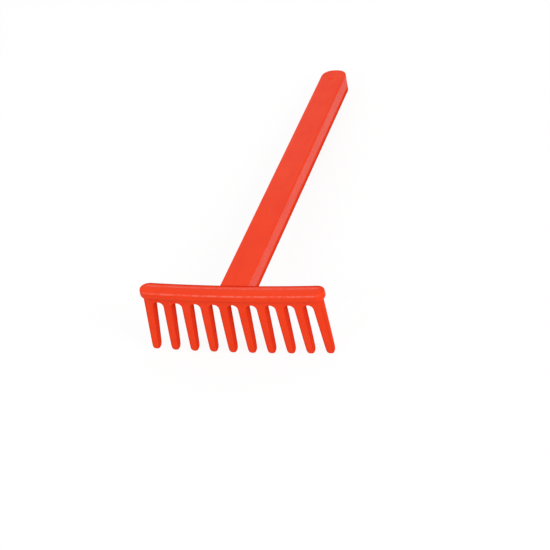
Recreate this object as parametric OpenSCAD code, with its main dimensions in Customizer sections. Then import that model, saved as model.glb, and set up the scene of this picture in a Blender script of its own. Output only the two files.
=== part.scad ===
// A child's sand rake in two mouldings: a comb head, and a handle that plugs into it.
// Lengths are in millimetres and angles in degrees. Each piece is drawn in the rake's own frame:
// X along the head, Y along the handle, Z away from the tines, height zero at the tops of the slots.
// Both are then tipped and lifted together, so that the tine tips and the handle's end stand on the ground.

/* [Head bar] */
// Length of the rounded bar along the top of the head
head_length = 152; // [110:1:220]
// Width of the bar, front to back
bar_width = 14.5; // [13:0.5:22]
// Height of the bar
bar_height = 6.8; // [5:0.2:12]
// Radius of the bar's rounded edges
bar_round = 2.4; // [0.6:0.2:3]

/* [Comb] */
// Number of tines
tine_count = 10; // [5:1:14]
// Length of a tine, from the top of a slot to the tip
tine_length = 48; // [30:1:80]
// Width of a tine at the top of the slots
tine_root_width = 7.4; // [4:0.2:9]
// Width of a tine at its rounded tip
tine_tip_width = 5.9; // [3:0.1:7]
// Thickness of the comb where it leaves the bar
comb_thickness = 10; // [7:0.2:12]
// Thickness of a tine at its tip
tine_tip_thickness = 7; // [4:0.2:9]
// Height of the plain band between the bar and the tops of the slots
band_height = 4.7; // [3:0.1:12]
// How far the comb stops short of each end of the bar
comb_inset = 3.4; // [0.5:0.1:8]
// How far the outermost tips stand outside their roots
tip_spread = 1.3; // [0:0.1:4]

/* [Handle] */
// Length of the handle, from the back of the bar to its end
handle_length = 344; // [200:1:600]
// Width of the handle
handle_width = 23; // [21:0.2:32]
// Depth of the handle
handle_depth = 17; // [14:0.2:24]
// How far the handle's flat top lies below the top of the bar
handle_drop = 0.9; // [0:0.1:2]
// Corner radius of the handle's end, seen from above
end_round = 10; // [4:0.5:12]
// Depth of the long recess in the handle's underside
recess_depth = 5; // [2:0.5:8]
// Width of the rim round the recess
rim_width = 3; // [2:0.2:4]

/* [Hanging hole] */
// Diameter of the blind hole in the recess, to hang the rake by
hang_hole_diameter = 5.5; // [4:0.1:8]
// Distance from the middle of the hole to the handle's end
hang_hole_from_end = 18; // [12:0.5:60]
// Thickness of the plastic left between the hole and the handle's flat top
hang_hole_skin = 1.2; // [1:0.1:3]
// Depth of the round mark in the flat top over the hole
hang_mark_depth = 0.4; // [0.2:0.05:0.6]

/* [Plug] */
// Diameter of the two pegs on the foot of the handle
peg_diameter = 6; // [4:0.1:7]
// Length of the pegs
peg_length = 9; // [5:0.5:10]
// Distance between the two pegs, middle to middle
peg_spacing = 12; // [9:0.5:14]
// Radial gap between a peg and its hole
peg_clearance = 0.15; // [0.05:0.05:0.3]
// Gap left past the end of a peg in its hole
peg_end_gap = 0.5; // [0.2:0.1:1]
// Size of the lead-in bevel on a peg's end
peg_bevel = 0.8; // [0.3:0.1:1.5]

/* [Hidden] */
$fn = 96;
head_colour = [0.93, 0.24, 0.14];
handle_colour = [0.94, 0.27, 0.16];
// Distance by which a cutting shape runs past the face that it cuts
overcut = 1;

// Heights above the tops of the slots
bar_top = band_height + bar_height;
handle_top = bar_top - handle_drop;
handle_bottom = handle_top - handle_depth;
peg_height = bar_top / 2;

// The bar's edge radius stays inside the bar
bar_edge = min(bar_round, 0.45 * min(bar_height, bar_width));
bar_straight = head_length - bar_width;

// The corner radius of the handle's end stays inside its width
end_corner = min(end_round, 0.46 * handle_width);

// Tine places, counted from the left, at the roots and at the centres of the tip rounds
tine_pitch = (head_length - 2 * comb_inset - tine_root_width) / (tine_count - 1);
outer_root = tine_pitch * (tine_count - 1) / 2;
function root_x(i) = i * tine_pitch - outer_root;
function tip_x(i) = root_x(i) * (1 + tip_spread / outer_root);
slot_radius = (tine_pitch - tine_root_width) / 2;
tip_radius = tine_tip_width / 2;
tip_centre = tip_radius - tine_length;
side_tip_radius = tine_tip_thickness / 2;
side_tip_centre = side_tip_radius - tine_length;

// Handle stations along Y
foot_y = bar_width / 2;
end_y = foot_y + handle_length;
recess_start_y = foot_y + rim_width;
recess_end_y = end_y - rim_width;
hang_hole_y = end_y - hang_hole_from_end;

// The tilt that puts the round tine tips and the lower edge of the handle's end on the ground
end_rise = handle_bottom - side_tip_centre;
rest_tilt = atan2(end_rise, end_y) + asin(side_tip_radius / norm([end_rise, end_y]));
rest_lift = side_tip_radius - side_tip_centre * cos(rest_tilt);
front_y = side_tip_centre * sin(rest_tilt) - side_tip_radius;
back_y = end_y * cos(rest_tilt) + handle_top * sin(rest_tilt);

// Tips the rake onto its tines and centres it over the origin
module at_rest() {
    translate([0, -(front_y + back_y) / 2, rest_lift])
        rotate([-rest_tilt, 0, 0])
            children();
}

// Draws a flat shape in the upright X-Z plane with the given thickness along Y
module across_thickness(thickness) {
    rotate([90, 0, 0])
        linear_extrude(thickness, center = true)
            children();
}

// Draws a flat shape in the upright Y-Z plane with the given length along X
module along_head(length) {
    rotate([90, 0, 90])
        linear_extrude(length, center = true)
            children();
}

// Rounded cross-section of the bar, resting on height zero
module bar_section() {
    core_width = bar_width - 2 * bar_edge;
    core_height = bar_height - 2 * bar_edge;
    translate([-bar_width / 2, bar_edge])
        square([bar_width, core_height]);
    translate([-core_width / 2, 0])
        square([core_width, bar_height]);
    for (x = [-core_width / 2, core_width / 2])
        for (y = [bar_edge, bar_height - bar_edge])
            translate([x, y])
                circle(bar_edge);
}

// The bar has a straight run and an end swept half way round, at each side
module bar() {
    translate([0, 0, band_height]) {
        along_head(bar_straight)
            bar_section();
        for (side = [-1, 1])
            translate([side * bar_straight / 2, 0, 0])
                rotate([0, 0, -90 * side])
                    rotate_extrude(angle = 180)
                        intersection() {
                            bar_section();
                            square([bar_width, bar_height]);
                        }
    }
}

// One slot of the comb, round at the top and wider towards the tips
module slot(i) {
    middle = (root_x(i) + root_x(i + 1)) / 2;
    translate([middle, -slot_radius])
        circle(slot_radius);
    polygon([
        [middle - slot_radius, -slot_radius],
        [middle + slot_radius, -slot_radius],
        [tip_x(i + 1) - tip_radius, tip_centre],
        [tip_x(i) + tip_radius, tip_centre]
    ]);
}

// The comb from the front: a block with slots, whose tines end in round tips
module comb_front() {
    last = tine_count - 1;
    top = band_height + bar_height / 2;
    root_half = root_x(last) + tine_root_width / 2;
    tip_half = tip_x(last) + tip_radius;
    difference() {
        polygon([
            [-root_half, top],
            [root_half, top],
            [root_half, -slot_radius],
            [tip_half, tip_centre],
            [-tip_half, tip_centre],
            [-root_half, -slot_radius]
        ]);
        for (i = [0 : last - 1])
            slot(i);
    }
    for (i = [0 : last])
        translate([tip_x(i), tip_centre])
            circle(tip_radius);
}

// The comb from the side: it tapers from the bar to a round tip
module comb_side() {
    top = band_height + bar_height / 2;
    polygon([
        [-comb_thickness / 2, top],
        [comb_thickness / 2, top],
        [side_tip_radius, side_tip_centre],
        [-side_tip_radius, side_tip_centre]
    ]);
    translate([0, side_tip_centre])
        circle(side_tip_radius);
}

module comb() {
    intersection() {
        across_thickness(bar_width)
            comb_front();
        along_head(head_length)
            comb_side();
    }
}

// Square pad behind the comb and bar, which the foot of the handle stands against
module socket_pad() {
    translate([-handle_width / 2, 0, 0])
        cube([handle_width, foot_y, handle_top]);
}

// A round shape along Y for each peg, starting at the given distance behind the middle of the comb
module at_pegs(y) {
    for (side = [-1, 1])
        translate([side * peg_spacing / 2, y, peg_height])
            rotate([-90, 0, 0])
                children();
}

module rake_head() {
    hole_depth = peg_length + peg_end_gap;
    color(head_colour)
        at_rest()
            difference() {
                union() {
                    bar();
                    comb();
                    socket_pad();
                }
                at_pegs(foot_y - hole_depth)
                    cylinder(h = hole_depth + overcut, r = peg_diameter / 2 + peg_clearance);
            }
}

// Outline of the handle from above, between two stations, drawn in by a margin at its sides
module handle_plan(start_y, stop_y, margin) {
    half = handle_width / 2 - margin;
    corner = end_corner - margin;
    corner_x = half - corner;
    corner_y = stop_y - corner;
    polygon([
        [-half, start_y],
        [half, start_y],
        [half, corner_y],
        [corner_x, stop_y],
        [-corner_x, stop_y],
        [-half, corner_y]
    ]);
    for (x = [-corner_x, corner_x])
        translate([x, corner_y])
            circle(corner);
}

module handle_body() {
    difference() {
        translate([0, 0, handle_bottom])
            linear_extrude(handle_depth)
                handle_plan(foot_y, end_y, 0);
        translate([0, 0, handle_bottom - overcut])
            linear_extrude(recess_depth + overcut)
                handle_plan(recess_start_y, recess_end_y, rim_width);
        translate([0, hang_hole_y, handle_bottom - overcut])
            cylinder(h = handle_depth - hang_hole_skin + overcut, d = hang_hole_diameter);
        translate([0, hang_hole_y, handle_top - hang_mark_depth])
            cylinder(h = hang_mark_depth + overcut, d = hang_hole_diameter);
    }
}

// The pegs run from their bevelled ends into the solid foot of the handle
module pegs() {
    at_pegs(foot_y - peg_length)
        cylinder(h = peg_bevel, r1 = peg_diameter / 2 - peg_bevel, r2 = peg_diameter / 2);
    at_pegs(foot_y - peg_length + peg_bevel)
        cylinder(h = peg_length - peg_bevel + overcut, d = peg_diameter);
}

module handle() {
    color(handle_colour)
        at_rest() {
            handle_body();
            pegs();
        }
}

rake_head();
handle();
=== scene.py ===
# %% [markdown]
# # A child's sand rake
# The real rake is two plastic mouldings: a comb head with ten blunt tines under a rounded bar, and a
# long handle that plugs into the back of the head. This lesson dresses the packed part for a picture.
# Each moulding becomes one closed, smooth mesh that rides on its own body, so the handle can be pulled out.
# The packed part is loaded first.

# %% Load the packed part
import math

import bmesh
import bpy
from mathutils import Matrix, Vector


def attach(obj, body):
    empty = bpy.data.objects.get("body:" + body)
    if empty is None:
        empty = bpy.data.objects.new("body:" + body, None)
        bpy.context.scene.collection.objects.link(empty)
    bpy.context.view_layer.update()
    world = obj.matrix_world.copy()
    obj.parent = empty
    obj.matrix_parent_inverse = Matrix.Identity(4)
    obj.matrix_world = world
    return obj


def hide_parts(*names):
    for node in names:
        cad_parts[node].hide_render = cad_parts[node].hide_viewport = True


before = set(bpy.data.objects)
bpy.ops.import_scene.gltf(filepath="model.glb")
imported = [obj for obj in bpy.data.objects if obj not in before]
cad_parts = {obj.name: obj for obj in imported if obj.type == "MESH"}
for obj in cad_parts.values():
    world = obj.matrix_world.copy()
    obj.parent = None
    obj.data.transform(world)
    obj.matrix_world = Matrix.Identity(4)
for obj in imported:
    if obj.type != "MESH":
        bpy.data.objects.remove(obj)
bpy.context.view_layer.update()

# %% [markdown]
# ## Sizes
# A moulding is easiest to draw in its own frame, in millimetres: X along the head, Y along the handle,
# Z away from the tines, and height zero at the tops of the slots between the tines.
# One matrix at the end tips the finished meshes onto their tine tips and turns millimetres into metres.

# %% Sizes of the rake in millimetres
HEAD_LENGTH = 152.0
BAR_WIDTH = 14.5
BAR_HEIGHT = 6.8
TINE_COUNT = 10
TINE_LENGTH = 48.0
ROOT_WIDTH = 7.4
TIP_WIDTH = 5.9
COMB_THICKNESS = 10.0
TIP_THICKNESS = 7.0
BAND_HEIGHT = 4.7
COMB_INSET = 3.4
TIP_SPREAD = 1.3
HEAD_BOW = 1.95
HANDLE_LENGTH = 344.0
HANDLE_WIDTH = 23.0
HANDLE_DEPTH = 17.0
HANDLE_DROP = 0.9
END_ROUND = 10.0
RECESS_DEPTH = 5.0
RIM_WIDTH = 3.0
HOLE_DIAMETER = 5.5
HOLE_FROM_END = 18.0
HOLE_SKIN = 1.2
MARK_DEPTH = 0.4
PEG_DIAMETER = 6.0
PEG_LENGTH = 9.0
PEG_SPACING = 12.0
PEG_CLEARANCE = 0.15
PEG_END_GAP = 0.5

bar_top = BAND_HEIGHT + BAR_HEIGHT
bar_middle = BAND_HEIGHT + BAR_HEIGHT / 2
handle_top = bar_top - HANDLE_DROP
handle_bottom = handle_top - HANDLE_DEPTH
peg_height = bar_top / 2
foot_y = BAR_WIDTH / 2
end_y = foot_y + HANDLE_LENGTH
pitch = (HEAD_LENGTH - 2 * COMB_INSET - ROOT_WIDTH) / (TINE_COUNT - 1)
outer_root = pitch * (TINE_COUNT - 1) / 2
slot_radius = (pitch - ROOT_WIDTH) / 2
print("tine pitch", round(pitch, 2), "mm, slot radius", round(slot_radius, 2), "mm")

# %% Matrix from the rake's own frame to its place on the ground
MILLIMETRE = 0.001
side_tip_radius = TIP_THICKNESS / 2
side_tip_centre = side_tip_radius - TINE_LENGTH
end_rise = handle_bottom - side_tip_centre
tilt = math.atan2(end_rise, end_y) + math.asin(side_tip_radius / math.hypot(end_rise, end_y))
lift = side_tip_radius - side_tip_centre * math.cos(tilt)
front_y = side_tip_centre * math.sin(tilt) - side_tip_radius
back_y = end_y * math.cos(tilt) + handle_top * math.sin(tilt)
to_ground = (Matrix.Scale(MILLIMETRE, 4)
             @ Matrix.Translation((0, -(front_y + back_y) / 2, lift))
             @ Matrix.Rotation(-tilt, 4, "X"))
print("tilt", round(math.degrees(tilt), 3), "degrees, lift", round(lift, 2), "mm")

# %% [markdown]
# ## Cages
# Moulded plastic has no sharp edges. A box with bevels would do, but its corners look machined. A coarse
# cage of four-sided faces that is smoothed by subdivision gives soft edges and clean blends instead.
# A row of points close beside an edge keeps that edge tight, and a row far from it leaves it round.
# The cage also keeps a tint at each point, which paints light into the colour: 0 is plain plastic, and above
# 0 it is matt with painted shade, deepest at 1, along the edges and in the slots. -1 is a pale painted
# highlight.

# %% A small builder for cages
TINT = "deep_tint"
WELD_DISTANCE = 0.001


class Cage:
    """Points and four-sided faces of a coarse shape, with a tint from -1 to 1 at each point."""

    def __init__(self):
        self.points = []
        self.tints = []
        self.faces = []

    def line(self, points, tint=0.0):
        """Adds points in order and gives back their numbers. tint is one value, or one for each point."""
        first = len(self.points)
        self.points += [tuple(point) for point in points]
        self.tints += tint if isinstance(tint, list) else [tint] * len(points)
        return list(range(first, len(self.points)))

    def strip(self, line_a, line_b, closed=False, skip=()):
        """Joins two lines of as many points with a row of faces."""
        count = len(line_a)
        for i in range(count if closed else count - 1):
            if i not in skip:
                j = (i + 1) % count
                self.faces.append((line_a[i], line_a[j], line_b[j], line_b[i]))

    def mesh(self, name):
        """The cage as a mesh with welded seams, outward faces and the tints."""
        made = bpy.data.meshes.new(name)
        made.from_pydata(self.points, [], self.faces)
        layer = made.attributes.new(TINT, "FLOAT", "POINT")
        layer.data.foreach_set("value", self.tints)
        shape = bmesh.new()
        shape.from_mesh(made)
        bmesh.ops.remove_doubles(shape, verts=shape.verts, dist=WELD_DISTANCE)
        bmesh.ops.recalc_face_normals(shape, faces=shape.faces)
        shape.to_mesh(made)
        shape.free()
        return made


def arc_swell(step):
    """How far control points stand outside an arc that they round, for an angle step in degrees."""
    return 1 / (1 - (1 - math.cos(math.radians(step))) / 3)


def between(a, b, share):
    return a + (b - a) * share


print("control points stand", round(arc_swell(30), 3), "times outside an arc with 30 degree steps")

# %% [markdown]
# ## Node maths
# Blender's materials and geometry trees are both made of nodes, and long sums of nodes are hard to read.
# A small class wraps a node's output and overloads + - * /, so that a formula in Python adds the Math nodes.
# One method, node, makes every other kind: it sets the node's settings first, and then gives its sockets
# their values or links.

# %% A wrapper for node sockets
class Wire:
    """A node's output that takes part in sums, so that node maths reads like a formula."""

    def __init__(self, tree, socket):
        self.tree = tree
        self.socket = socket

    @staticmethod
    def find(sockets, key):
        """A socket by its place, its identifier or its name."""
        if isinstance(key, int):
            return sockets[key]
        return next(socket for socket in sockets if key in (socket.identifier, socket.name))

    @staticmethod
    def node(tree, kind, settings=None, sockets=None, output=0):
        """Makes a node. A list of values goes into a socket that takes several links."""
        made = tree.nodes.new(kind)
        for name, value in (settings or {}).items():
            setattr(made, name, value)
        for name, value in (sockets or {}).items():
            target = Wire.find(made.inputs, name)
            for item in value if isinstance(value, list) else [value]:
                if isinstance(item, Wire):
                    tree.links.new(item.socket, target)
                else:
                    target.default_value = item
        return Wire(tree, Wire.find(made.outputs, output))

    def maths(self, operation, a, b=0.0):
        return Wire.node(self.tree, "ShaderNodeMath", {"operation": operation}, {0: a, 1: b})

    def __add__(self, other):
        return self.maths("ADD", self, other)

    def __radd__(self, other):
        return self.maths("ADD", other, self)

    def __sub__(self, other):
        return self.maths("SUBTRACT", self, other)

    def __rsub__(self, other):
        return self.maths("SUBTRACT", other, self)

    def __mul__(self, other):
        return self.maths("MULTIPLY", self, other)

    def __rmul__(self, other):
        return self.maths("MULTIPLY", other, self)

    def __truediv__(self, other):
        return self.maths("DIVIDE", self, other)

    def __rtruediv__(self, other):
        return self.maths("DIVIDE", other, self)

    def ramp(self, low, high):
        """Rises smoothly from 0 at low to 1 at high."""
        return Wire.node(self.tree, "ShaderNodeMapRange", {"interpolation_type": "SMOOTHSTEP"},
                         {"Value": self, "From Min": low, "From Max": high})


print("node maths ready:", [name for name in vars(Wire) if name.startswith("__r")])

# %% [markdown]
# ## The plastic
# Both mouldings are the same orange-red polypropylene with a satin gloss. A single colour would look like
# paint, because moulded plastic is a little uneven: the melt leaves soft clouds and faint streaks along the
# way that it flowed, the skin waves a little as it cools, use leaves hair scratches, and a few light specks
# stick to it. Each of these is one mask here, made from noise in Object coordinates.
# In the slots and along the edges the plastic is matt, and painted shade deepens its colour there.
# That is a second shader, mixed in by the tint of the cage. A tint below zero paints two pale highlight
# lines along the bar, at its front edge and on its top.

# %% Moulded plastic as a procedural material
PLASTIC_IOR = 1.49
SATIN_GLOSS = 0.048
SATIN_ROUGHNESS = 0.22
MATT_ROUGHNESS = 0.6
SKIN_STRENGTH = 0.12
SKIN_DEPTH = 0.0004
CLOUD_SCALE = 38.0
WAVE_SCALE = 120.0
GRAIN_SCALE = 1500.0
SPECK_SCALE = 210.0
HIGHLIGHT_BREAK_SCALE = 240.0
SPECK_COLOUR = (1.0, 0.42, 0.3, 1.0)
# The pale colour of two painted highlight lines along the bar.
PAINTED_HIGHLIGHT_COLOUR = (0.84, 0.125, 0.085, 1.0)


def surface_output(tree, shader, kind="ShaderNodeOutputMaterial"):
    """Ends a material or a world with its output node."""
    tree.links.new(shader.socket, tree.nodes.new(kind).inputs["Surface"])


def mix_shader(tree, share, first, second):
    """A blend of two shaders: the first where share is 0, and the second where it is 1."""
    return Wire.node(tree, "ShaderNodeMixShader", {}, {0: share, 1: first, 2: second})


def moulded_plastic(name, bright, deep, painted_shade, flow, drift):
    """Satin plastic that is matt where tinted. flow is how dense the streaks are along X, Y and Z."""
    plastic = bpy.data.materials.new(name)
    plastic.use_nodes = True
    tree = plastic.node_tree
    tree.nodes.clear()
    place = Wire.node(tree, "ShaderNodeTexCoord", output="Object")
    moved = Wire.node(tree, "ShaderNodeVectorMath", {"operation": "ADD"}, {0: place, 1: drift}, "Vector")

    def noise(scale, detail=2.0, vector=moved):
        return Wire.node(tree, "ShaderNodeTexNoise", {},
                         {"Vector": vector, "Scale": scale, "Detail": detail, "Roughness": 0.55})

    def blend(share, first, second):
        return Wire.node(tree, "ShaderNodeMix", {"data_type": "RGBA"},
                         {"Factor_Float": share, "A_Color": first, "B_Color": second}, "Result_Color")

    def principled(colour, rough, normal, gloss):
        return Wire.node(tree, "ShaderNodeBsdfPrincipled", {},
                         {"Base Color": colour, "Roughness": rough, "Normal": normal, "IOR": PLASTIC_IOR,
                          "Specular IOR Level": gloss})

    clouds = noise(CLOUD_SCALE, 3.0).ramp(0.3, 0.7)
    along = Wire.node(tree, "ShaderNodeMapping", {}, {"Vector": moved, "Scale": flow})
    streaks = noise(1.0, 4.0, along).ramp(0.42, 0.68)
    slanted = Wire.node(tree, "ShaderNodeMapping", {},
                        {"Vector": moved, "Scale": (900.0, 60.0, 300.0), "Rotation": (0.1, 0.2, 0.7)})
    scratches = noise(1.0, 2.0, slanted).ramp(0.68, 0.76) * noise(55.0).ramp(0.5, 0.66)
    cells = Wire.node(tree, "ShaderNodeTexVoronoi", {}, {"Vector": moved, "Scale": SPECK_SCALE}, "Distance")
    specks = (1 - cells.ramp(0.05, 0.14)) * noise(90.0).ramp(0.6, 0.7)
    tint = Wire.node(tree, "ShaderNodeAttribute", {"attribute_name": TINT}, output="Fac")

    body = blend(clouds * 0.5 + streaks * 0.25, bright, deep)
    # Painted highlight: a tint below 0 makes the colour paler, in thin lines broken up by noise.
    painted_highlight = (0.0 - tint).ramp(0.48, 0.68) * (0.35 + noise(HIGHLIGHT_BREAK_SCALE).ramp(0.4, 0.6) * 0.65)
    highlighted = blend(painted_highlight, body, PAINTED_HIGHLIGHT_COLOUR)
    scuffed = blend(scratches * 0.16 + specks * 0.3, highlighted, SPECK_COLOUR)
    rough = SATIN_ROUGHNESS + clouds * 0.05 + streaks * 0.05 + scratches * 0.2 + specks * 0.15
    height = noise(GRAIN_SCALE) * 0.03 + noise(WAVE_SCALE, 1.0) * 0.5 - scratches * 0.25
    skin = Wire.node(tree, "ShaderNodeBump", {},
                     {"Height": height, "Strength": SKIN_STRENGTH, "Distance": SKIN_DEPTH})
    satin = principled(scuffed, rough, skin, SATIN_GLOSS)
    # Where tinted, the plastic is matt, and from a tint of 0.4 up its colour is painted shade, a deep
    # crimson.
    matt_with_painted_shade = principled(blend(tint.ramp(0.4, 0.9), body, painted_shade), MATT_ROUGHNESS, skin, 0.0)
    surface_output(tree, mix_shader(tree, tint.ramp(0.1, 0.3), satin, matt_with_painted_shade))
    print(name, "has", len(tree.nodes), "nodes")
    return plastic


# The third colour of each plastic is its painted shade, for edges, slots and creases.
head_plastic = moulded_plastic("head_plastic", bright=(0.86, 0.055, 0.014, 1.0),
                               deep=(0.80, 0.042, 0.011, 1.0), painted_shade=(0.46, 0.008, 0.013, 1.0),
                               flow=(20.0, 160.0, 160.0), drift=(0, 0, 0))
handle_plastic = moulded_plastic("handle_plastic", bright=(0.86, 0.052, 0.012, 1.0),
                                 deep=(0.80, 0.041, 0.012, 1.0), painted_shade=(0.52, 0.011, 0.012, 1.0),
                                 flow=(160.0, 12.0, 160.0), drift=(0.37, 0.11, 0.53))

# %% [markdown]
# ## The head, one slice at a time
# The head is one moulding, but it repeats: every tine has the same stretch of bar, band and two half slots.
# So a slice of the head, one tine wide, is drawn once. Its seams run through the middles of the slots.
# Round the head's section goes a hoop of points: up the front, over the bar and down the back.
# Above a slot, five more points close the hoop along the arch. The arch is followed in steps of 30 degrees.

# %% Control rows of the head
EDGE = 2.05
# Tints of painted shade: the slot walls are matt, and shade is painted deeper toward the tines' front and
# back edges.
WALL_TINT = 0.4
FRONT_TINT = 0.65
BACK_TINT = 0.85
STEP = 30
tip_radius = TIP_WIDTH / 2
tip_centre = tip_radius - TINE_LENGTH
arch_radius = slot_radius * arc_swell(STEP)
spring_radius = (arch_radius + slot_radius) / 2


def half_thickness(z):
    """Half of the comb's thickness at a height: it thins evenly from the bar to the tips."""
    share = (bar_middle - z) / (bar_middle - side_tip_centre)
    return between(COMB_THICKNESS, TIP_THICKNESS, share) / 2


def half_tine(z):
    """Half of a tine's width at a height."""
    share = (-slot_radius - z) / (-slot_radius - tip_centre)
    return between(ROOT_WIDTH, TIP_WIDTH, share) / 2


# A row of the bar is its half width, its height and its tints in front and behind, from the bottom up.
# The tints of -1 in front and -0.88 behind paint the two highlight lines; the positive ones paint shade on
# the edges.
bar_rows = [
    (BAR_WIDTH / 2, BAND_HEIGHT, 0.0, 0.6),
    (BAR_WIDTH / 2, bar_middle, 0.0, 0.0),
    (BAR_WIDTH / 2, bar_top - 0.6, -1.0, 0.95),
    (BAR_WIDTH / 2 - 1.15, bar_top - 0.33, 0.0, 0.8),
    (BAR_WIDTH / 4, bar_top - 0.12, 0.0, 0.0),
    (BAR_WIDTH / 6.5, bar_top - 0.03, 0.0, -0.88),
    (0.0, bar_top + 0.06, 0.0, 0.0),
]
# Under the bar the tints paint shade into the crease where the bar meets the band.
UNDER_SHARE = 0.3
UNDER_TINT = 0.3
# A row of the plain band under the bar is its height and its tint.
band_rows = [(BAND_HEIGHT - 1.2, 0.0), (BAND_HEIGHT, 0.45)]


def hoop(face_x, face_z, bar_x):
    """Points and tints from the front of the comb over the bar to its back."""
    comb = [(face_x, half_thickness(face_z), face_z, 0.0)]
    comb += [(face_x, half_thickness(z), z, tint) for z, tint in band_rows]
    under_y = between(half_thickness(BAND_HEIGHT), BAR_WIDTH / 2, UNDER_SHARE)
    comb.append((between(face_x, bar_x, UNDER_SHARE), under_y, BAND_HEIGHT, UNDER_TINT))
    front = comb + [(bar_x, half, z, tint) for half, z, tint, _ in bar_rows]
    back = comb + [(bar_x, half, z, tint) for half, z, _, tint in bar_rows[:-1]]
    return [(x, -y, z, tint) for x, y, z, tint in front] + back[::-1]


def across(x, z):
    """Points and tints from the back edge of a slot's wall to its front edge."""
    half = half_thickness(z)
    return [(x, half, z, BACK_TINT), (x, half - EDGE, z, WALL_TINT), (x, 0.0, z, WALL_TINT),
            (x, EDGE - half, z, WALL_TINT), (x, -half, z, FRONT_TINT)]


def split(rows):
    """Separates rows of x, y, z and tint into points and tints."""
    return [row[:3] for row in rows], [row[3] for row in rows]


print("hoop of", len(hoop(0, 0, 0)), "points, closed by", len(across(0, 0)), "along the arch")

# %% Half of a slice, from the middle of a slot to the side of a tine
def slot_side(cage, side, bar_xs):
    """Lofts the rings round a half slot. side is -1 or 1; gives back the last ring's points, in order."""
    ring = None
    for angle, bar_x in zip(range(90, -1, -STEP), bar_xs):
        radius = arch_radius if angle else spring_radius
        turn = math.radians(angle)
        wall_x = pitch / 2 - radius * math.cos(turn)
        wall_z = radius * math.sin(turn) - slot_radius
        face_x = pitch / 2 - (radius + EDGE) * math.cos(turn)
        face_z = (radius + EDGE) * math.sin(turn) - slot_radius
        rows = hoop(face_x, face_z, bar_x) + across(wall_x, wall_z)
        last, ring = ring, cage.line(*split([(side * x, y, z, tint) for x, y, z, tint in rows]))
        if last:
            cage.strip(last, ring, closed=True)
    return ring


hoop_count = len(hoop(0, 0, 0))
print("each half slot is lofted through rings of", hoop_count + len(across(0, 0)), "points")

# %% A tine hangs from a ring of fourteen points
FACE_SHARE = 0.36


def tine_ring(z, width_share=1.0, depth_share=1.0, corner_share=1.0):
    """Ring of a tine: front face, right wall, back face and left wall, with rows beside each edge."""
    half_x = half_tine(z) * width_share
    half_y = half_thickness(z) * depth_share
    face_x = FACE_SHARE * half_x
    wall_y = half_y - EDGE * depth_share
    corner_x, corner_y = half_x * corner_share, half_y * corner_share
    right = [(face_x, -half_y, z, 0.0), (corner_x, -corner_y, z, FRONT_TINT),
             (half_x, -wall_y, z, WALL_TINT), (half_x, 0.0, z, WALL_TINT), (half_x, wall_y, z, WALL_TINT),
             (corner_x, corner_y, z, BACK_TINT), (face_x, half_y, z, 0.0)]
    left = [(-x, y, level, tint) for x, y, level, tint in right[::-1]]
    return right + left


# The round of a tip is followed in five steps of 36 degrees: two rings, and a cap over the middle step.
TIP_STEP = 36
tip_swell = arc_swell(TIP_STEP)
tip_turns = [math.radians(TIP_STEP), math.radians(2 * TIP_STEP)]
tip_low = tip_centre - tip_radius * tip_swell * math.sin(tip_turns[0])
tip_cap = tip_centre - tip_radius * tip_swell * math.sin(tip_turns[1])
cap_x = tip_radius * tip_swell * math.cos(tip_turns[1])
# Each station down a tine is its height and its shares of the full width, depth and corners.
tine_stations = [(-slot_radius - 3.5,), (-18,), (-31,), (tip_centre + 1.1 * tip_radius, 1, 1, 0.98),
                 (tip_centre, (1 + tip_swell) / 2, 1, 0.92),
                 (tip_low, tip_swell * math.cos(tip_turns[0]), 0.85, 0.8)]


def hang_tine(cage, top_ring):
    """Lofts a tine from the ring at its root to its blunt tip, and closes the tip with a small grid."""
    ring = top_ring
    for station in tine_stations:
        last, ring = ring, cage.line(*split(tine_ring(*station)))
        cage.strip(last, ring, closed=True)
    wall_y = cage.points[ring[4]][1]
    rows = [[ring[12], ring[13], ring[0], ring[1]]]
    for left, right, y in ((11, 2, -wall_y), (10, 3, 0.0), (9, 4, wall_y)):
        rows.append([ring[left]] + cage.line([(-cap_x, y, tip_cap), (cap_x, y, tip_cap)]) + [ring[right]])
    rows.append([ring[8], ring[7], ring[6], ring[5]])
    for row, following in zip(rows, rows[1:]):
        cage.strip(row, following)


def root_half(ring):
    """The seven points of a slot ring that the tine below it hangs from, front to back."""
    return [ring[0]] + ring[-1:-7:-1]


print("tine ring of", len(tine_ring(-20)), "points")

# %% The slice that repeats
middle = Cage()
even_xs = [pitch / 2 * share / 7 for share in (7, 5, 3, 1)]
left_ring = slot_side(middle, -1, even_xs)
right_ring = slot_side(middle, 1, even_xs)
middle.strip(left_ring[:hoop_count], right_ring[:hoop_count])
hang_tine(middle, root_half(right_ring) + root_half(left_ring)[::-1])
tine_slice = bpy.data.objects.new("tine_slice", middle.mesh("tine_slice"))
print("tine slice:", len(tine_slice.data.polygons), "cage faces")

# %% [markdown]
# The last slice at each end has a slot on one side only. Its outer wall runs straight up to the bar,
# and the bar closes in a half circle that overhangs the comb by a few millimetres.

# %% The slice at the end of the head
END_ANGLES = range(-90, 91, STEP)
bar_end_x = (HEAD_LENGTH - BAR_WIDTH) / 2 - outer_root


def end_column(root, angle):
    """Points and tints from the outer tine's root up to the bar's top, at one angle of its round end."""
    x, y, z, root_tint = root
    rows = [root]
    for level, tint in band_rows:
        rows.append((x, y * half_thickness(level) / half_thickness(z), level, max(tint, 0.8 * root_tint)))
    swell = arc_swell(STEP) if abs(angle) < 90 else (1 + arc_swell(STEP)) / 2
    turn = math.radians(angle)
    behind = (angle + 90) / 180
    bar = [(bar_end_x + half * swell * math.cos(turn), half * swell * math.sin(turn), level,
            between(front_tint, back_tint, behind)) for half, level, front_tint, back_tint in bar_rows[:-1]]
    band_x, band_y = rows[-1][:2]
    bar_x, bar_y = bar[0][:2]
    rows.append((between(band_x, bar_x, UNDER_SHARE), between(band_y, bar_y, UNDER_SHARE), BAND_HEIGHT,
                 UNDER_TINT))
    return rows + bar


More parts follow.
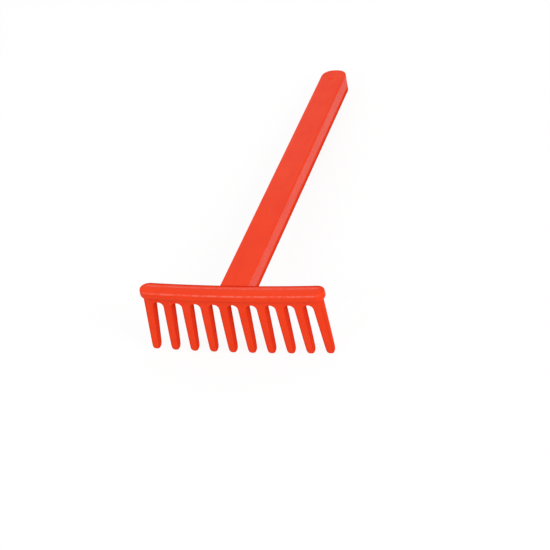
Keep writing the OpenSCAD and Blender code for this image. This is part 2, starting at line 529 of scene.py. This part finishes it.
end = Cage()
end_xs = [between(pitch / 2, -bar_end_x, share / 4) for share in range(4)]
left_ring = slot_side(end, -1, end_xs)
columns = []
for angle, root in zip(END_ANGLES, tine_ring(-slot_radius)[:7]):
    columns.append(end.line(*split(end_column(root, angle))))
top_middle = end.line([(bar_end_x, 0.0, bar_rows[-1][1])])
end.strip(left_ring[:hoop_count], columns[0] + top_middle + columns[-1][::-1])
for column, following in zip(columns, columns[1:]):
    end.strip(column, following)
for first in (0, 2, 4):
    end.faces.append((top_middle[0], columns[first][-1], columns[first + 1][-1], columns[first + 2][-1]))
hang_tine(end, [column[0] for column in columns] + root_half(left_ring)[::-1])
end_slice = bpy.data.objects.new("end_slice", end.mesh("end_slice"))
print("end slice:", len(end_slice.data.polygons), "cage faces")

# %% [markdown]
# ## The socket for the handle
# Behind the middle of the comb the head has a flat pad with two blind holes, which take the handle's pegs.
# These are plain shapes, so a bevelled block and two turned cutters are made here. The node tree joins
# the block to the head and cuts the holes with the cutters, as the core pins of a mould would shape them.

# %% Socket pad and the cutters for its two holes
hole_radius = PEG_DIAMETER / 2 + PEG_CLEARANCE
hole_depth = PEG_LENGTH + PEG_END_GAP
PAD_EDGE = 0.5
PAD_SEGMENTS = 3
MOUTH = 0.4
CUTTER_REACH = 1.0
CUTTER_STEPS = 48


def new_object(name, shape):
    """A Blender object from a bmesh, which is then freed."""
    made = bpy.data.meshes.new(name)
    bmesh.ops.recalc_face_normals(shape, faces=shape.faces)
    shape.to_mesh(made)
    shape.free()
    return bpy.data.objects.new(name, made)


block = bmesh.new()
bmesh.ops.create_cube(block, size=1)
bmesh.ops.scale(block, verts=block.verts, vec=(HANDLE_WIDTH, foot_y, handle_top))
bmesh.ops.translate(block, verts=block.verts, vec=(0, foot_y / 2, handle_top / 2))
bmesh.ops.bevel(block, geom=block.edges, offset=PAD_EDGE, segments=PAD_SEGMENTS, profile=0.5,
                affect="EDGES")
socket_pad = new_object("socket_pad", block)

cutter = bmesh.new()
profile = [(0.0, -hole_depth), (hole_radius, -hole_depth), (hole_radius, -MOUTH),
           (hole_radius + MOUTH, 0.0), (hole_radius + MOUTH, CUTTER_REACH), (0.0, CUTTER_REACH)]
for peg_x in (-PEG_SPACING / 2, PEG_SPACING / 2):
    corners = [cutter.verts.new((peg_x + r, foot_y + y, peg_height)) for r, y in profile]
    edges = [cutter.edges.new(pair) for pair in zip(corners, corners[1:])]
    bmesh.ops.spin(cutter, geom=corners + edges, cent=(peg_x, 0, peg_height), axis=(0, 1, 0),
                   angle=2 * math.pi, steps=CUTTER_STEPS)
bmesh.ops.remove_doubles(cutter, verts=cutter.verts, dist=WELD_DISTANCE)
peg_holes = new_object("peg_holes", cutter)
print("socket pad", len(socket_pad.data.polygons), "faces, cutters", len(peg_holes.data.polygons), "faces")

# %% [markdown]
# ## The comb as a node tree
# Ten copies of the slice could be placed in a Python loop. A Geometry Nodes tree says the rule itself
# instead: the middle slices stand on a line of points one pitch apart, and an end slice closes each side,
# mirrored for the left. The tree welds the seams, smooths the cage, lets the tines lean apart a little, and
# bends the head to the slight bow that the real one has. Then the socket is joined and its holes are cut.
# Joining and cutting shuffle the tint, so it is read again from the nearest place on the uncut shape.

# %% Node tree for the head
SEAM_WELD = 0.01
SHARP_FOLD = 0.6


def comb_tree():
    """Builds the tree and gives it back with its named inputs."""
    tree = bpy.data.node_groups.new("comb_head", "GeometryNodeTree")
    tree.is_modifier = True
    kinds = {"Object": ("Tine slice", "End slice", "Socket pad", "Peg holes"),
             "Int": ("Tine count", "Smoothing"),
             "Float": ("Pitch", "Slot radius", "Tine length", "Tip spread", "Bend radius"),
             "Material": ("Plastic",)}
    wanted = {name: "NodeSocket" + kind for kind, names in kinds.items() for name in names}
    tree.interface.new_socket("Geometry", in_out="INPUT", socket_type="NodeSocketGeometry")
    tree.interface.new_socket("Geometry", in_out="OUTPUT", socket_type="NodeSocketGeometry")
    inputs = {name: tree.interface.new_socket(name, in_out="INPUT", socket_type=kind)
              for name, kind in wanted.items()}
    group_in = tree.nodes.new("NodeGroupInput")
    given = {name: Wire(tree, group_in.outputs[name]) for name in wanted}

    def node(kind, sockets, output=0, **settings):
        return Wire.node(tree, kind, settings, sockets, output)

    def shape_of(name):
        return node("GeometryNodeObjectInfo", {"Object": given[name]}, "Geometry")

    def vector(x=0.0, y=0.0, z=0.0):
        return node("ShaderNodeCombineXYZ", {"X": x, "Y": y, "Z": z})

    reach = given["Pitch"] * (given["Tine count"] - 1) / 2
    line = node("GeometryNodeMeshLine", {"Count": given["Tine count"] - 2,
                                         "Start Location": vector(given["Pitch"] - reach),
                                         "Offset": vector(given["Pitch"])})
    slices = node("GeometryNodeInstanceOnPoints", {"Points": line, "Instance": shape_of("Tine slice")})
    right = node("GeometryNodeTransform", {"Geometry": shape_of("End slice"), "Translation": vector(reach)})
    mirrored = node("GeometryNodeTransform", {"Geometry": right, "Scale": (-1.0, 1.0, 1.0)})
    left = node("GeometryNodeFlipFaces", {"Mesh": mirrored})
    joined = node("GeometryNodeJoinGeometry", {"Geometry": [slices, right, left]})
    real = node("GeometryNodeRealizeInstances", {"Geometry": joined})
    welded = node("GeometryNodeMergeByDistance", {"Geometry": real, "Distance": SEAM_WELD})
    smooth = node("GeometryNodeSubdivisionSurface", {"Mesh": welded, "Level": given["Smoothing"]})

    place = node("GeometryNodeInputPosition", {})
    x, y, z = [node("ShaderNodeSeparateXYZ", {"Vector": place}, axis) for axis in "XYZ"]
    below = (0.0 - given["Slot radius"] - z) / (given["Tine length"] - given["Slot radius"])
    below = below.maths("MAXIMUM", below, 0.0)
    spread_x = x + x * below * given["Tip spread"] / reach
    turn = spread_x / given["Bend radius"]
    arm = given["Bend radius"] - z
    bent_x = arm * turn.maths("SINE", turn)
    bent_z = given["Bend radius"] - arm * turn.maths("COSINE", turn)
    bent = node("GeometryNodeSetPosition", {"Geometry": smooth, "Position": vector(bent_x, y, bent_z)})

    solid = node("GeometryNodeMeshBoolean", {"Mesh 2": [bent, shape_of("Socket pad")]}, "Mesh",
                 operation="UNION", solver="EXACT")
    bored = node("GeometryNodeMeshBoolean", {"Mesh 1": solid, "Mesh 2": [shape_of("Peg holes")]}, "Mesh",
                 operation="DIFFERENCE", solver="EXACT")
    tint = node("GeometryNodeInputNamedAttribute", {"Name": TINT}, data_type="FLOAT")
    nearest = node("GeometryNodeSampleNearestSurface", {"Mesh": bent, "Value": tint}, "Value",
                   data_type="FLOAT")
    tinted = node("GeometryNodeStoreNamedAttribute", {"Geometry": bored, "Name": TINT, "Value": nearest},
                  data_type="FLOAT", domain="POINT")
    shaded = node("GeometryNodeSetShadeSmooth", {"Geometry": tinted, "Shade Smooth": True})
    fold = node("GeometryNodeInputMeshEdgeAngle", {}, "Unsigned Angle")
    sharp = fold.maths("GREATER_THAN", fold, SHARP_FOLD)
    creased = node("GeometryNodeSetShadeSmooth",
                   {"Geometry": shaded, "Selection": sharp, "Shade Smooth": False}, domain="EDGE")
    final = node("GeometryNodeRealizeInstances", {"Geometry": creased})
    final = node("GeometryNodeSetMaterial", {"Geometry": final, "Material": given["Plastic"]})
    tree.links.new(final.socket, tree.nodes.new("NodeGroupOutput").inputs[0])
    return tree, inputs


head_tree, head_inputs = comb_tree()
print("comb tree:", len(head_tree.nodes), "nodes,", len(head_inputs), "named inputs")

# %% Grow the head from the tree
HEAD_SMOOTHING = 2
helpers = [tine_slice, end_slice, socket_pad, peg_holes]
for helper in helpers:
    bpy.context.scene.collection.objects.link(helper)
head = bpy.data.objects.new("rake_head_moulding", bpy.data.meshes.new("empty"))
bpy.context.scene.collection.objects.link(head)
grow = head.modifiers.new("Comb", "NODES")
grow.node_group = head_tree
bend_radius = (HEAD_LENGTH / 2) ** 2 / (2 * HEAD_BOW)
chosen = {"Tine slice": tine_slice, "End slice": end_slice, "Socket pad": socket_pad, "Peg holes": peg_holes,
          "Tine count": TINE_COUNT, "Pitch": pitch, "Slot radius": slot_radius, "Tine length": TINE_LENGTH,
          "Tip spread": TIP_SPREAD, "Bend radius": bend_radius, "Smoothing": HEAD_SMOOTHING,
          "Plastic": head_plastic}
for name, value in chosen.items():
    grow[head_inputs[name].identifier] = value


def settle(piece):
    """Turns a piece's modifiers into plain mesh and moves the mesh to its place on the ground."""
    graph = bpy.context.evaluated_depsgraph_get()
    mesh = bpy.data.meshes.new_from_object(piece.evaluated_get(graph), depsgraph=graph)
    piece.modifiers.clear()
    mesh.transform(to_ground)
    mesh.name = piece.name
    piece.data = mesh
    shape = bmesh.new()
    shape.from_mesh(mesh)
    open_edges = sum(not edge.is_manifold for edge in shape.edges)
    print(piece.name, "has", sum(len(face.verts) - 2 for face in shape.faces), "triangles,", open_edges,
          "open edges and a volume of", round(1e6 * shape.calc_volume(signed=True), 2), "cm3")
    shape.free()


settle(head)
for helper in helpers:
    bpy.data.objects.remove(helper)

# %% [markdown]
# ## The handle
# The handle is a straight flat bar with a rounded end. Its underside has a long shallow recess
# with a rim round it, which keeps the wall even as the plastic cools. A blind hole in the recess hangs it on
# a nail, and the thin skin above that hole sinks a little, which leaves a faint round mark on the flat top.
# It is drawn as a stack of loops round its outline: out over the top edge, down the side, under the rim
# and up into the recess. Grids then close the top and the recess, each with a square of faces left out,
# where rings of points carry on into the mark or the hole.

# %% Loops round the handle
hole_y = end_y - HOLE_FROM_END
HOLE_BLOCK = 4.2
TOP_EDGE = 2.0
FOOT_EDGE = 1.1
FOOT_ROW = 2.5
LOW_EDGE = 1.5
FOOT_COLUMNS = (0.0, 0.196, 0.536, 0.875, 1.0)
side_ys = [60.0, 120.0, 180.0, 240.0, 295.0, hole_y - 3 * HOLE_BLOCK, hole_y - HOLE_BLOCK, hole_y,
           hole_y + HOLE_BLOCK]
END_STEP = 22.5
end_angles = [END_STEP * step for step in range(5)]


def handle_loop(cage, z, inset=0.0, foot_inset=None, foot_z=None, tint=0.0):
    """A closed loop, from the middle of the foot along the right side to the end, and back on the left."""
    start = foot_y + (inset if foot_inset is None else foot_inset)
    foot_level = z if foot_z is None else foot_z
    half = HANDLE_WIDTH / 2 - inset
    right = [(share * half, start, foot_level) for share in FOOT_COLUMNS]
    right += [(half, y, z) for y in [start + FOOT_ROW] + side_ys]
    corner_x = HANDLE_WIDTH / 2 - END_ROUND
    corner_y = end_y - END_ROUND
    for angle in end_angles:
        swell = arc_swell(END_STEP) if 0 < angle < 90 else (1 + arc_swell(END_STEP)) / 2
        radius = (END_ROUND - inset) * swell
        right.append((corner_x + radius * math.cos(math.radians(angle)),
                      corner_y + radius * math.sin(math.radians(angle)), z))
    right += [(corner_x / 2, end_y - inset, z), (0.0, end_y - inset, z)]
    left = [(-x, y, level) for x, y, level in right[-2:0:-1]]
    return cage.line(right + left, tint)


handle = Cage()
top_loop = handle_loop(handle, handle_top, TOP_EDGE, FOOT_EDGE)
# The tints make the top edge partly matt, and paint shade along the lower edges and round the rim of the
# recess.
loops = [top_loop,
         handle_loop(handle, handle_top, tint=0.2),
         handle_loop(handle, handle_top - TOP_EDGE, foot_z=handle_top - FOOT_EDGE),
         handle_loop(handle, peg_height - 1.0, foot_z=peg_height),
         handle_loop(handle, 1.0, foot_z=2 * peg_height - handle_top + FOOT_EDGE),
         handle_loop(handle, handle_bottom + LOW_EDGE, tint=0.6),
         handle_loop(handle, handle_bottom, tint=0.9),
         handle_loop(handle, handle_bottom, RIM_WIDTH / 2),
         handle_loop(handle, handle_bottom, RIM_WIDTH, tint=0.8),
         handle_loop(handle, handle_bottom + LOW_EDGE, RIM_WIDTH),
         handle_loop(handle, handle_bottom + RECESS_DEPTH - LOW_EDGE, RIM_WIDTH),
         handle_loop(handle, handle_bottom + RECESS_DEPTH, RIM_WIDTH),
         handle_loop(handle, handle_bottom + RECESS_DEPTH, RIM_WIDTH + LOW_EDGE)]
around = len(top_loop)
print(len(loops), "loops of", around, "points")

# %% [markdown]
# The foot of the handle has two round pegs, which plug into the head. They could be cylinders that are
# joined on, but that leaves a hard seam. Here each peg grows out of the foot itself: a block of four faces
# is left out, and rings of eight points carry the skin on from the block's edge to the end of the peg.

# %% Skin between the loops, with two blocks of the foot left out for the pegs
PEG_LOOPS = (2, 3, 4)
PEG_COLUMNS = (1, 2, 3)
RING_STEP = 45
peg_gaps = [1, 2, around - 3, around - 2]
for number, (loop, following) in enumerate(zip(loops, loops[1:])):
    handle.strip(loop, following, closed=True, skip=peg_gaps if number in PEG_LOOPS[:2] else ())


def block_edge(rows):
    """The eight points round a block of three by three."""
    return [rows[0][0], rows[0][1], rows[0][2], rows[1][2], rows[2][2], rows[2][1], rows[2][0], rows[1][0]]


def ring_of_eight(centre, radius, right, up, depth):
    """Eight points on a circle, in the order of a block's edge."""
    turns = [math.radians((225 + RING_STEP * step) % 360) for step in range(8)]
    return [centre + right * radius * math.cos(turn) + up * radius * math.sin(turn) + depth
            for turn in turns]


def grow_rings(cage, edge, rings, end):
    """Lofts rings of eight from a block's edge, and closes the last with four faces round an end point."""
    ring = edge
    for points, tint in rings:
        last, ring = ring, cage.line(points, tint)
        cage.strip(last, ring, closed=True)
    end_point = cage.line([end])[0]
    for first in (0, 2, 4, 6):
        cage.faces.append((ring[first], ring[first + 1], ring[(first + 2) % 8], end_point))


# %% Two bevelled pegs on the foot
PEG_BEVEL = 0.8
peg_radius = PEG_DIAMETER / 2 * arc_swell(RING_STEP)
for side in (-1, 1):
    columns = [side * column % around for column in PEG_COLUMNS]
    rows = [[loops[level][column] for column in columns] for level in PEG_LOOPS[::-1]]
    centre = Vector((side * PEG_SPACING / 2, foot_y, peg_height))
    right, up = Vector((side, 0, 0)), Vector((0, 0, 1))
    depths = [(0.0, 1.0), (0.7, 1.0), (PEG_LENGTH - PEG_BEVEL - 0.6, 1.0), (PEG_LENGTH - PEG_BEVEL, 1.0),
              (PEG_LENGTH, 0.8), (PEG_LENGTH, 0.6)]
    rings = [(ring_of_eight(centre, peg_radius * share, right, up, Vector((0, -depth, 0))), 0.0)
             for depth, share in depths]
    grow_rings(handle, block_edge(rows), rings, centre - Vector((0, PEG_LENGTH, 0)))
print("pegs of", PEG_DIAMETER, "mm,", PEG_SPACING, "mm apart")

# %% Grids that close the top and the recess
first_side = len(FOOT_COLUMNS)
last_side = first_side + len(side_ys) + 2
hole_side = first_side + 1 + side_ys.index(hole_y)


def close_face(cage, loop):
    """Fills a loop with a grid that leaves out a block round the hole, and gives back the block's edge."""
    rows = [loop[1 - first_side:] + loop[:first_side]]
    for number in range(first_side, last_side + 1):
        x, y, z = cage.points[loop[number]]
        share = min(1.0, (y - foot_y) / (hole_y - HOLE_BLOCK - foot_y))
        near = [column * x for column in FOOT_COLUMNS[1:4]]
        far = [HOLE_BLOCK, between(HOLE_BLOCK, x, 0.4), between(HOLE_BLOCK, x, 0.72)]
        xs = [between(a, b, share) for a, b in zip(near, far)]
        inner = [-xs[2], -xs[1], -xs[0], 0.0] + xs
        rows.append([loop[-number]] + cage.line([(column, y, z) for column in inner]) + [loop[number]])
    corner = last_side + 1
    rows.append([loop[-corner - step] for step in range(4)] + [loop[corner + 4]]
                + [loop[corner + 3 - step] for step in range(4)])
    hole_row = hole_side - first_side + 1
    for number, (row, following) in enumerate(zip(rows, rows[1:])):
        cage.strip(row, following, skip=(3, 4) if number in (hole_row - 1, hole_row) else ())
    return block_edge([row[3:6] for row in rows[hole_row - 1:hole_row + 2]])


top_edge = close_face(handle, loops[0])
recess_edge = close_face(handle, loops[-1])
print("handle cage:", len(handle.faces), "faces before the mark and the hole")

# %% The mark on the top and the blind hole in the recess
hole_control = HOLE_DIAMETER / 2 * arc_swell(RING_STEP)
recess_top = handle_bottom + RECESS_DEPTH
hole_end = handle_top - HOLE_SKIN
mark_floor = handle_top - MARK_DEPTH


def sink(edge, levels, end):
    """Rings round the hole's axis, each a height, a share of its radius and a tint, and a flat end."""
    rings = []
    for level, share, tint in levels:
        centre = Vector((0, hole_y, level))
        circle = ring_of_eight(centre, hole_control * share, Vector((1, 0, 0)), Vector((0, 1, 0)), Vector())
        rings.append((circle, tint))
    grow_rings(handle, edge, rings, (0, hole_y, end))


# In the hanging hole the tints paint shade into the walls; the mark's floor is only partly matt.
sink(top_edge, [(handle_top, 1.25, 0.0), (mark_floor, 0.75, 0.25), (mark_floor, 0.4, 0.0)], mark_floor)
sink(recess_edge, [(recess_top, 1.0, 0.4), (recess_top + 1.0, 1.0, 0.8), (hole_end - 0.5, 1.0, 0.8),
                   (hole_end, 1.0, 0.8), (hole_end, 0.6, 0.8)], hole_end)
print("hanging hole at", round(hole_y, 1), "mm,", round(hole_end - recess_top, 1), "mm deep")

# %% Smooth the handle
HANDLE_SMOOTHING = 3
grip = bpy.data.objects.new("handle_moulding", handle.mesh("handle_cage"))
bpy.context.scene.collection.objects.link(grip)
grip.data.materials.append(handle_plastic)
grip.data.polygons.foreach_set("use_smooth", [True] * len(grip.data.polygons))
soften = grip.modifiers.new("Soften", "SUBSURF")
soften.levels = HANDLE_SMOOTHING
soften.render_levels = HANDLE_SMOOTHING
settle(grip)

# %% [markdown]
# ## Floor, light and camera
# A toy like this is shown on plain white. The floor and the sky are white to the camera and to reflections,
# but light the rake more softly than that, so that its faces keep their shape. Part of the floor's white is
# its own glow, and the rest keeps the rake's shadow. A large lamp in front on the right lights the fronts,
# the tops and the right-hand walls. Two small ones lift the bar's front edge and its back edge a little.

# %% Floor and sky
def background_ray(tree):
    """1 for the rays that show the background: from the camera, and by way of a gloss or something clear."""
    camera_ray, glossy_ray, clear_ray = [Wire.node(tree, "ShaderNodeLightPath", output=kind) for kind in
                                         ("Is Camera Ray", "Is Glossy Ray", "Is Transmission Ray")]
    bounced = glossy_ray.maths("MAXIMUM", glossy_ray, clear_ray)
    return bounced.maths("MAXIMUM", camera_ray, bounced)


WHITE = (1.0, 1.0, 1.0, 1.0)
FLOOR_GLOW = 0.9
FLOOR_GREY = (0.72, 0.72, 0.72, 1.0)
floor_paint = bpy.data.materials.new("floor_paint")
floor_paint.use_nodes = True
paint_tree = floor_paint.node_tree
paint_tree.nodes.clear()
shaded_floor = Wire.node(paint_tree, "ShaderNodeBsdfDiffuse", {}, {"Color": WHITE})
glow = Wire.node(paint_tree, "ShaderNodeEmission", {}, {"Color": WHITE, "Strength": 1.0})
seen_floor = mix_shader(paint_tree, FLOOR_GLOW, shaded_floor, glow)
dim_floor = Wire.node(paint_tree, "ShaderNodeBsdfDiffuse", {}, {"Color": FLOOR_GREY})
surface_output(paint_tree, mix_shader(paint_tree, background_ray(paint_tree), dim_floor, seen_floor))
FLOOR_HALF = 8.0
floor_mesh = bpy.data.meshes.new("floor")
floor_corners = [(x * FLOOR_HALF, y * FLOOR_HALF, 0) for x, y in ((-1, -1), (1, -1), (1, 1), (-1, 1))]
floor_mesh.from_pydata(floor_corners, [], [(0, 1, 2, 3)])
floor_mesh.materials.append(floor_paint)
floor = bpy.data.objects.new("floor", floor_mesh)
bpy.context.scene.collection.objects.link(floor)

SKY_LIGHT = 0.82
sky = bpy.data.worlds.new("studio_sky")
sky.use_nodes = True
sky_tree = sky.node_tree
sky_tree.nodes.clear()
soft = Wire.node(sky_tree, "ShaderNodeBackground", {}, {"Color": WHITE, "Strength": SKY_LIGHT})
bright = Wire.node(sky_tree, "ShaderNodeBackground", {}, {"Color": WHITE, "Strength": 1.0})
sky_shader = mix_shader(sky_tree, background_ray(sky_tree), soft, bright)
surface_output(sky_tree, sky_shader, "ShaderNodeOutputWorld")
bpy.context.scene.world = sky
print("floor glow", FLOOR_GLOW, "sky light", SKY_LIGHT)

# %% Lamps
LAMP_AIM = Vector((0.0, -0.12, 0.04))


def soft_lamp(name, direction, distance, size, power):
    """A square lamp that shines at the head of the rake from a direction."""
    lamp = bpy.data.lights.new(name, "AREA")
    lamp.shape = "SQUARE"
    lamp.size = size
    lamp.energy = power
    made = bpy.data.objects.new(name, lamp)
    made.location = LAMP_AIM + Vector(direction).normalized() * distance
    made.rotation_mode = "QUATERNION"
    made.rotation_quaternion = (LAMP_AIM - made.location).to_track_quat("-Z", "Y")
    bpy.context.scene.collection.objects.link(made)


soft_lamp("key_lamp", direction=(0.74, -0.36, 0.57), distance=1.8, size=0.6, power=11.0)
soft_lamp("line_lamp", direction=(-0.33, -0.75, 0.57), distance=1.7, size=0.03, power=3.0)
soft_lamp("back_lamp", direction=(-0.31, 0.91, 0.28), distance=1.8, size=0.12, power=0.3)

# %% [markdown]
# The camera stands where the photograph was taken from: in front of the rake, a little to the right and well
# above it. Its place was fitted until slots, tine tips and handle edges lay where the photograph has them.
# It looks at a point on the ground behind the head, from far off through a long lens, and a roll about its
# own line of sight tips the picture.

# %% Camera at the photograph's viewing angle
IMAGE_SIZE = 550
FOCAL_PIXELS = 1883.0
SENSOR = 36.0
AIM = Vector((0.00323, -0.08504, 0.0))
CAMERA_DISTANCE = 1.5514
AZIMUTH = math.radians(23.103)
ELEVATION = math.radians(39.564)
ROLL = math.radians(-14.331)

lens = bpy.data.cameras.new("camera")
lens.sensor_width = SENSOR
lens.lens = FOCAL_PIXELS * SENSOR / IMAGE_SIZE
camera = bpy.data.objects.new("camera", lens)
toward = Vector((math.sin(AZIMUTH) * math.cos(ELEVATION), -math.cos(AZIMUTH) * math.cos(ELEVATION),
                 math.sin(ELEVATION)))
camera.location = AIM + toward * CAMERA_DISTANCE
camera.rotation_mode = "QUATERNION"
camera.rotation_quaternion = ((-toward).to_track_quat("-Z", "Y").to_matrix()
                              @ Matrix.Rotation(ROLL, 3, "Z")).to_quaternion()
bpy.context.scene.collection.objects.link(camera)
bpy.context.scene.camera = camera
bpy.context.scene.view_settings.view_transform = "Standard"
print("camera at", [round(value, 4) for value in camera.location], "lens", round(lens.lens, 1), "mm")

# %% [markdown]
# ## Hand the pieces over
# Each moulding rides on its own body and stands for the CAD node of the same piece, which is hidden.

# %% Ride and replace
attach(head, "head")
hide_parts("rake_head")
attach(grip, "handle")
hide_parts("handle")
